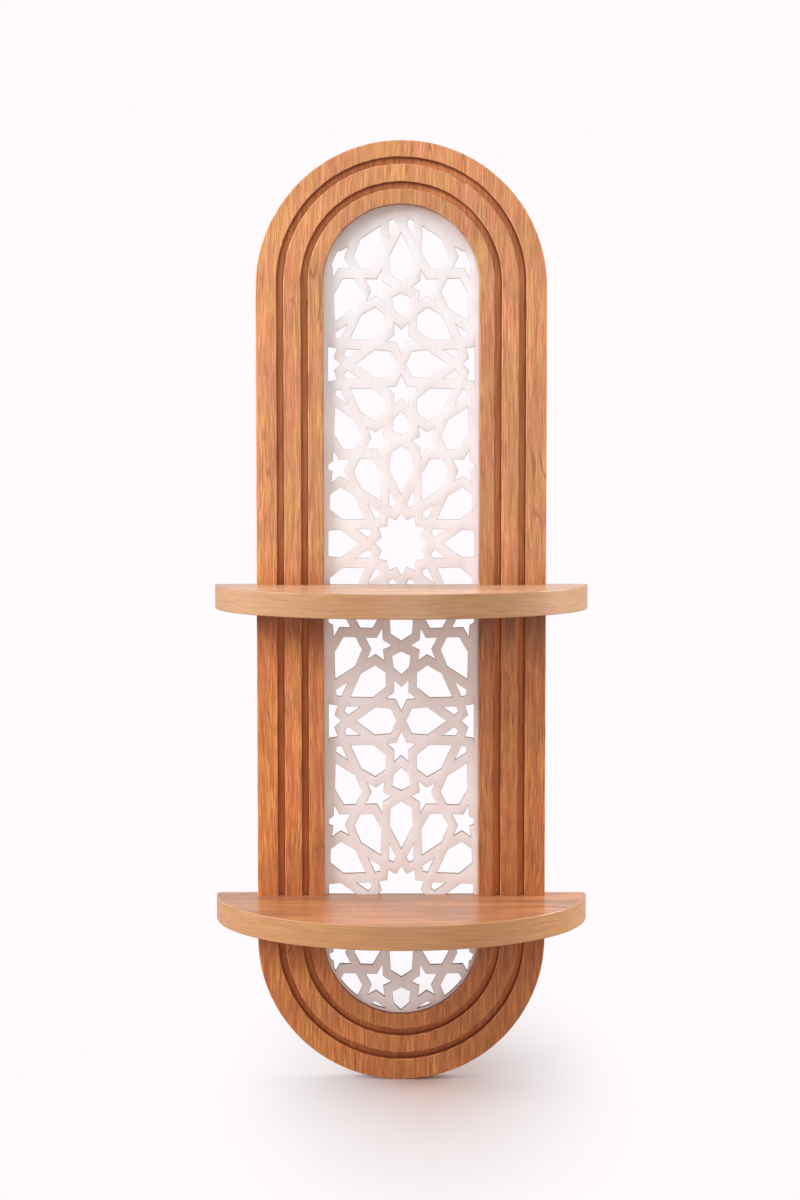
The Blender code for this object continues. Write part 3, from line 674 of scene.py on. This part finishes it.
def stripPath(x):
    # straight up at one distance from the middle, from the lower shelf to the upper one
    z = np.linspace(shelfTop["lower"], shelfUnder["upper"], ringShape["straightSteps"])
    return np.stack([np.full(z.size, x), z], axis=-1)


def stripProfile():
    # distance in from the edge, depth, share of cut wall, and the mask of a painted highlight on the arris,
    # which is greatest halfway round the edge
    r = ringShape["edgeRadius"]
    flat, fade = r * ringShape["edgeFlat"], ringShape["wallFade"]
    turn = np.linspace(0, pi / 2, ringShape["edgeSteps"])
    inset = np.concatenate([[0, 0], r * (1 - np.cos(turn)), [flat]])
    depth = np.concatenate([[backingFront - ringShape["glueLine"], faceFront + flat],
                            faceFront + r * (1 - np.sin(turn)), [faceFront]])
    wall = np.concatenate([[1, 1], np.clip(np.cos(turn) * (1 + fade) - fade, 0, 1), [0]])
    arrisLight = np.concatenate([[0, 0], np.sin(2 * turn), [0]])
    return inset, depth, wall, arrisLight


def ringSurface(inner, outer, outerCut, tone):
    # point = edge + inset along the line to the other edge; the profile goes up one edge and down the other;
    # tone falls evenly from left to right, more so below the upper shelf, as painted shade of the light from
    # the left
    inset, depth, wall, arrisLight = stripProfile()
    along = outer - inner
    along = along / np.linalg.norm(along, axis=1, keepdims=True)
    nearInner = inner[:, None, :] + along[:, None, :] * inset[None, :, None]
    nearOuter = outer[:, None, :] - along[:, None, :] * inset[::-1][None, :, None]
    flat = np.concatenate([nearInner, nearOuter], axis=1)
    y = np.broadcast_to(np.concatenate([depth, depth[::-1]]), flat.shape[:2])
    marks = {"cutWall": np.concatenate([wall, wall[::-1] * outerCut]),
             "arris": np.concatenate([arrisLight, arrisLight[::-1]])}
    marks = {label: np.broadcast_to(row, flat.shape[:2]) for label, row in marks.items()}
    low = flat[..., 1] < shelfTop["upper"] - ringShape["lowMargin"]
    # painted shade: the tone falls to the right, away from the light on the left
    side = np.where(low, ringShape["lowSideShadeShare"], ringShape["sideShadeShare"])
    side = side * flat[..., 0] / ringEdges("outer")[1]
    marks["tone"] = tone * np.where(low, ringShape["lowTone"], 1.0) * (1 - side)
    return np.stack([flat[..., 0], y, flat[..., 1]], axis=-1), marks


def ringPaths(ring):
    # the inner and outer edge of a ring's four pieces; the outermost edge has its own spring line
    innerHalf, outerHalf = ringEdges(ring)
    outerLine = "edge" if ring == "outer" else "groove"
    paths = {}
    for part, spring, start, sign in (("top_arch", topSpring, shelfTop["upper"], 1),
                                      ("bottom_arch", bottomSpring, shelfUnder["lower"], -1)):
        paths[part] = (archPath(innerHalf, spring["groove"], start, sign),
                       archPath(outerHalf, spring[outerLine], start, sign))
    for part, sign in (("left_strip", -1), ("right_strip", 1)):
        paths[part] = stripPath(sign * innerHalf), stripPath(sign * outerHalf)
    return paths


for ring in ("outer", "middle", "inner"):
    outerCut = 0.0 if ring == "outer" else 1.0
    for part, (inner, outer) in ringPaths(ring).items():
        node = ring + "_face_" + part
        points, marks = ringSurface(inner, outer, outerCut, ringShape["tone"][ring])
        newPiece(node + "_veneered", points, node, faceWood, marks)
print("face rings made")


# shelf edge bands: a softened strip carried round the half oval
bandShape = {"edgeRadius": 0.0006, "edgeSteps": 5, "edgeFlat": 1.4, "ovalSteps": 65, "corner": 0.004,
             "cornerSteps": 6, "jointGap": 0.00002}


def ovalPath(wide, deep, corner):
    # rounded corner, half ellipse, rounded corner, with the outward normal at each point
    share = corner / deep
    first = np.arcsin(share)
    middle = wide * np.sqrt(1 - share ** 2) - corner
    turn = np.linspace(pi / 2, 0, bandShape["cornerSteps"], endpoint=False)
    angle = np.linspace(first, pi - first, bandShape["ovalSteps"])
    right = np.stack([middle + corner * np.cos(turn), -corner + corner * np.sin(turn)], axis=-1)
    rightOut = np.stack([np.cos(turn), np.sin(turn)], axis=-1)
    oval = np.stack([wide * np.cos(angle), -deep * np.sin(angle)], axis=-1)
    ovalOut = np.stack([np.cos(angle) / wide, -np.sin(angle) / deep], axis=-1)
    ovalOut = ovalOut / np.linalg.norm(ovalOut, axis=1, keepdims=True)
    mirror = np.array([-1.0, 1.0])
    return (np.concatenate([right, oval, right[::-1] * mirror]),
            np.concatenate([rightOut, ovalOut, rightOut[::-1] * mirror]))


def bandSurface(node, board):
    # point = oval point - inset x normal; the profile goes up the outside, over the top and down the inside;
    # place = length along the oval, inset and height, for the grain
    low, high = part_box(node)
    curve, out = ovalPath(high.x, -low.y, bandShape["corner"])
    r = bandShape["edgeRadius"]
    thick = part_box(board)[0].y - low.y - bandShape["jointGap"]
    turn = np.linspace(0, pi / 2, bandShape["edgeSteps"])
    inset = np.concatenate([[0], r * (1 - np.cos(turn)), [thick]])
    rise = np.concatenate([[high.z - r * bandShape["edgeFlat"]], high.z - r * (1 - np.sin(turn)), [high.z]])
    inset = np.concatenate([inset, inset[::-1]])
    z = np.concatenate([rise, (low.z + high.z) - rise[::-1]])
    flat = curve[:, None, :] - out[:, None, :] * inset[None, :, None]
    points = np.stack([flat[..., 0], flat[..., 1], np.broadcast_to(z, flat.shape[:2])], axis=-1)
    length = np.concatenate([[0], np.cumsum(np.linalg.norm(np.diff(curve, axis=0), axis=1))])
    place = np.stack([np.broadcast_to(length[:, None], flat.shape[:2]),
                      np.broadcast_to(inset, flat.shape[:2]), points[..., 2]], axis=-1)
    return points, place


for word in shelfWords:
    node = word + "_shelf_edge_band"
    points, place = bandSurface(node, word + "_shelf")
    newPiece(node + "_rounded", points, node, bandWood, None, {"bandPlace": place})
print("shelf edges made")


# screws: a turned profile with a cross recess pressed into the head and a shallow thread on the shank;
# shares are of the head's radius, its height, the shank or the tip
screwShape = {"around": 48, "headRows": 14, "headStart": 0.02, "shelfRim": 0.0004,
              "plateHead": 0.0010, "domeShare": 0.55, "domeReach": 0.98, "domeRim": 0.96,
              "recessArm": 0.62, "recessWidth": 0.17, "recessDepth": 0.28,
              "recessEnd": 0.12, "recessSide": 0.06,
              "shelfShank": 0.0020, "plateShank": 0.0015, "shankRows": 70,
              "threadPitch": 0.0016, "threadHeight": 0.0002, "threadStart": 0.001,
              "tip": 0.004, "tipMost": 0.5, "tipWaist": (0.55, 0.45), "tipEnd": 0.08}


def recessArm(across, along):
    # 1 within the arm's width and length, falling to 0 over its side and end walls
    s = screwShape
    return (np.clip((s["recessWidth"] - np.abs(across)) / s["recessSide"], 0, 1)
            * np.clip((s["recessArm"] - np.abs(along)) / s["recessEnd"], 0, 1))


def screwSurface(node, shank, flatHead):
    # radius and depth along the profile from the middle of the head to the tip, turned round the axis;
    # the head is pressed in where either arm of the cross covers the point
    s = screwShape
    low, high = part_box(node)
    x, z = (low.x + high.x) / 2, (low.z + high.z) / 2
    head = (high.x - low.x) / 2
    length = high.y - low.y
    share = np.linspace(s["headStart"], 1, s["headRows"])
    if flatHead:
        crown = np.zeros(share.size)
        under = s["shelfRim"] + head - shank
        neck = np.array([[head, s["shelfRim"]], [shank, under]])
    else:
        dome = np.sqrt(np.clip(1 - (share * s["domeReach"]) ** 2, 0, 1))
        crown = s["plateHead"] * s["domeShare"] * (1 - dome)
        under = s["plateHead"]
        neck = np.array([[head, under * s["domeRim"]], [shank, under]])
    tip = min(s["tip"], (length - under) * s["tipMost"])
    down = np.linspace(under, length - tip, s["shankRows"])[1:]
    waist, waistDepth = s["tipWaist"]
    radius = np.concatenate([head * share, neck[:, 0], np.full(down.size, shank),
                             [shank * waist, shank * s["tipEnd"]]])
    depth = np.concatenate([crown, neck[:, 1], down, [length - tip * waistDepth, length]])
    angle = np.linspace(0, 2 * pi, s["around"], endpoint=False)
    across = radius[:, None] * np.cos(angle)[None, :] / head
    along = radius[:, None] * np.sin(angle)[None, :] / head
    onHead = (np.arange(radius.size) < s["headRows"])[:, None]
    cross = np.maximum(recessArm(across, along), recessArm(along, across))
    pressed = cross * onHead * s["recessDepth"] * head
    onShank = ((depth > under + s["threadStart"]) & (depth < length - tip))[:, None]
    wave = np.abs(((depth[:, None] / s["threadPitch"] + angle[None, :] / (2 * pi)) % 1) * 2 - 1)
    r = radius[:, None] + onShank * s["threadHeight"] * wave
    y = high.y - (depth[:, None] + pressed)
    return np.stack([x + r * np.cos(angle), np.broadcast_to(y, r.shape), z + r * np.sin(angle)], axis=-1)


sides = ("left", "right")
screws = [(word + "_shelf_" + side + "_screw", "shelfShank", True) for word in shelfWords for side in sides]
screws += [(side + "_hanger_" + end + "_screw", "plateShank", False) for side in sides for end in shelfWords]
for node, shank, flatHead in screws:
    points = screwSurface(node, screwShape[shank], flatHead)
    newPiece(node + "_turned", points, node, zinc)
print("screws made:", len(screws))


# lattice panels: the pierced sheet with every cut edge eased; angles in degrees and radians as named
latticeShape = {"edge": 0.00045, "segments": 3, "weld": 1e-6, "shortest": 0.0005, "flatDegrees": 0.5,
                "rimRadians": 1.2, "rimFacing": 0.9, "upwardGain": 1.8}
sortSlant = Vector((1.0, 31.7, 1003.3))  # points and faces are sorted along it, the same on every run


def easedSheet(node):
    # the solid's triangles joined into flat faces without its shortest edges, then each edge between a face
    # and a cut wall bevelled; inward = distance from the nearer face over the bevel's width, upward = how
    # far the surface looks up
    k = latticeShape
    work = bmesh.new()
    work.from_mesh(nodes[node].data)
    bmesh.ops.remove_doubles(work, verts=work.verts, dist=k["weld"])
    bmesh.ops.dissolve_limit(work, angle_limit=radians(k["flatDegrees"]), verts=work.verts, edges=work.edges)
    bmesh.ops.remove_doubles(work, verts=work.verts, dist=k["shortest"])
    work.normal_update()
    rims = [e for e in work.edges if len(e.link_faces) == 2 and e.calc_face_angle() > k["rimRadians"]
            and abs(e.link_faces[0].normal.y) + abs(e.link_faces[1].normal.y) > k["rimFacing"]]
    bmesh.ops.bevel(work, geom=rims, offset=k["edge"], offset_type="OFFSET", affect="EDGES",
                    segments=k["segments"], profile=0.5, clamp_overlap=False)
    bmesh.ops.triangulate(work, faces=[f for f in work.faces if len(f.verts) > 4])
    work.verts.sort(key=lambda v: v.co.dot(sortSlant))
    work.faces.sort(key=lambda f: f.calc_center_median().dot(sortSlant))
    mesh = bpy.data.meshes.new(node + "_eased")
    work.to_mesh(mesh)
    work.free()
    places = np.empty(len(mesh.vertices) * 3)
    mesh.vertices.foreach_get("co", places)
    y = places[1::3]
    looks = np.empty(places.size)
    mesh.vertex_normals.foreach_get("vector", looks)
    inward = np.clip(np.minimum(y - y.min(), y.max() - y) / k["edge"], 0, 1)
    return mesh, {"inward": inward, "upward": np.clip(looks[2::3] * k["upwardGain"], 0, 1)}


for node in ("upper_lattice", "middle_lattice", "lower_lattice"):
    mesh, marks = easedSheet(node)
    dressed(mesh, node, latticeWhite, marks)
print("lattice panels eased")


# solids that stay, with their finishes
for node, material in (("backing_ring", backingWood), ("upper_shelf", shelfWood), ("lower_shelf", shelfWood),
                       ("left_hanger_plate", zinc), ("right_hanger_plate", zinc)):
    nodes[node].data.materials.clear()
    nodes[node].data.materials.append(material)


# studio: a pale floor that goes over into the plain background, and a world brighter behind than in front
studio = {
    "backdrop": (0.991, 0.956, 0.991),
    "floorPaint": (0.475, 0.438, 0.435, 1), "floorPale": (0.9, 0.9, 0.9, 1), "paleShare": 0.08,
    "floorPatch": 3.0, "floorGrit": 300.0, "floorRoughness": 0.7, "floorSpecular": 0.15,
    "floorRings": (0.02, *np.linspace(0.1, 1.6, 24), 2.5, 4.0, 9.0), "floorSteps": 96,
    "contactShadeTint": (1.0, 0.88, 0.82, 1), "contactShadeReach": 0.06,
    "clearRadius": 0.0, "fadeRadius": 0.16, "depthShare": 0.40, "fadeMiddle": (0.02, 0.0, 0.0),
    "farFloorLight": 0.60, "worldFront": 0.44, "worldBack": 0.75,
    "fillFront": (1.0, 0.83, 0.73, 1), "fillBack": (1.0, 0.975, 0.985, 1),
}
backdrop = studio["backdrop"] + (1,)


def paleFloor():
    # floor paint with faint pale patches and a painted warm shade by the foot; it fades to the backdrop's
    # colour with the distance from the middle, where depth counts for less than width
    material, tree, shader = newMaterial("paleFloor")
    point = put(tree, "TexCoord").outputs["Object"]
    mottle = placeGroup(tree, handlingMottle, {"Point": point, "Patch": studio["floorPatch"],
                                               "Grit": studio["floorGrit"]})
    pale = calc(tree, "MULTIPLY", mottle.outputs["Mottle"], studio["paleShare"])
    tone = blendColour(tree, pale, studio["floorPaint"], studio["floorPale"])
    shader.inputs["Roughness"].default_value = studio["floorRoughness"]
    shader.inputs["Specular IOR Level"].default_value = studio["floorSpecular"]
    moved = put(tree, "VectorMath", {0: point, 1: studio["fadeMiddle"]}, operation="SUBTRACT").outputs[0]
    share = (1, studio["depthShare"], 0)
    flat = put(tree, "VectorMath", {0: moved, 1: share}, operation="MULTIPLY").outputs[0]
    away = put(tree, "VectorMath", {0: flat}, operation="LENGTH").outputs["Value"]
    # painted warm shade on the floor around the foot
    tone = tinted(tree, spread(tree, away, studio["contactShadeReach"], 0.0), tone, studio["contactShadeTint"])
    tree.links.new(tone, shader.inputs["Base Color"])
    fade = put(tree, "MapRange", {0: away, 1: studio["clearRadius"], 2: studio["fadeRadius"]},
               interpolation_type="SMOOTHSTEP")
    seen = put(tree, "LightPath").outputs["Is Camera Ray"]
    glow = put(tree, "Emission", {"Color": blendColour(tree, seen, studio["fillFront"], backdrop),
                                  "Strength": spread(tree, seen, 0.0, 1.0, studio["farFloorLight"], 1.0)})
    both = put(tree, "MixShader", {0: fade.outputs[0], 1: shader.outputs[0], 2: glow.outputs[0]})
    tree.links.new(both.outputs[0], tree.nodes["Material Output"].inputs["Surface"])
    return material


def floorSheet():
    # a round sheet that looks up: rings of growing radius, each point at radius x (cos, sin), and the
    # middle closed
    radius = np.array(studio["floorRings"])
    angle = np.linspace(0, 2 * pi, studio["floorSteps"], endpoint=False)
    points = np.stack([radius[:, None] * np.cos(angle), radius[:, None] * np.sin(angle),
                       np.full((radius.size, angle.size), floorHeight)], axis=-1).reshape(-1, 3)
    faces = sweptFaces(radius.size, angle.size)[:-1]
    mesh = bpy.data.meshes.new("studioFloor")
    mesh.from_pydata(points.tolist(), [], [f[::-1] for f in faces])
    mesh.materials.append(paleFloor())
    floor = bpy.data.objects.new("studioFloor", mesh)
    scene.collection.objects.link(floor)


def studioWorld():
    # the camera sees the plain backdrop; as light, the world goes from warm and dim in front to pale behind
    world = bpy.data.worlds.new("studioWorld")
    scene.world = world
    world.use_nodes = True
    tree = world.node_tree
    plain = tree.nodes["Background"]
    plain.inputs["Color"].default_value = backdrop
    direction = put(tree, "SeparateXYZ", {0: put(tree, "TexCoord").outputs["Generated"]}).outputs[1]
    strength = spread(tree, direction, -1.0, 1.0, studio["worldFront"], studio["worldBack"])
    tint = blendColour(tree, spread(tree, direction, -1.0, 1.0), studio["fillFront"], studio["fillBack"])
    fill = put(tree, "Background", {"Color": tint, "Strength": strength})
    seen = put(tree, "LightPath").outputs["Is Camera Ray"]
    both = put(tree, "MixShader", {0: seen, 1: fill.outputs[0], 2: plain.outputs[0]})
    tree.links.new(both.outputs[0], tree.nodes["World Output"].inputs["Surface"])


# lamps: a softbox at the upper left, and others at both sides, above and in front; turn and rise in degrees
lamps = {
    "keyLeft": {"turn": -65, "rise": 28, "away": 2.6, "size": 1.3, "watts": 62, "tint": (1.0, 0.98, 0.97)},
    "sideLeft": {"turn": -102, "rise": 15, "away": 1.8, "size": 1.0, "watts": 12, "tint": (1.0, 0.98, 0.98)},
    "sideRight": {"turn": 102, "rise": 18, "away": 1.8, "size": 1.0, "watts": 37, "tint": (1.0, 0.98, 0.98)},
    "topFront": {"turn": -6, "rise": 60, "away": 2.4, "size": 1.5, "watts": 7, "tint": (1.0, 0.98, 0.97)},
    "fillFront": {"turn": 8, "rise": 4, "away": 2.6, "size": 1.2, "watts": 15, "tint": (1.0, 0.88, 0.80)},
}
lampAim = (0.0, -0.03, -0.33)


def addLamp(name, look):
    # place = aim + distance x (sine and cosine of the turn from the front, raised by the rise)
    turn, rise = radians(look["turn"]), radians(look["rise"])
    away = Vector((sin(turn) * cos(rise), -cos(turn) * cos(rise), sin(rise))) * look["away"]
    data = bpy.data.lights.new(name, "AREA")
    data.shape = "DISK"
    data.size = look["size"]
    data.energy = look["watts"]
    data.color = look["tint"]
    lamp = bpy.data.objects.new(name, data)
    lamp.location = Vector(lampAim) + away
    lamp.rotation_euler = (-away).to_track_quat("-Z", "Y").to_euler()
    scene.collection.objects.link(lamp)


floorSheet()
for name, look in lamps.items():
    addLamp(name, look)
studioWorld()
print("studio lit")
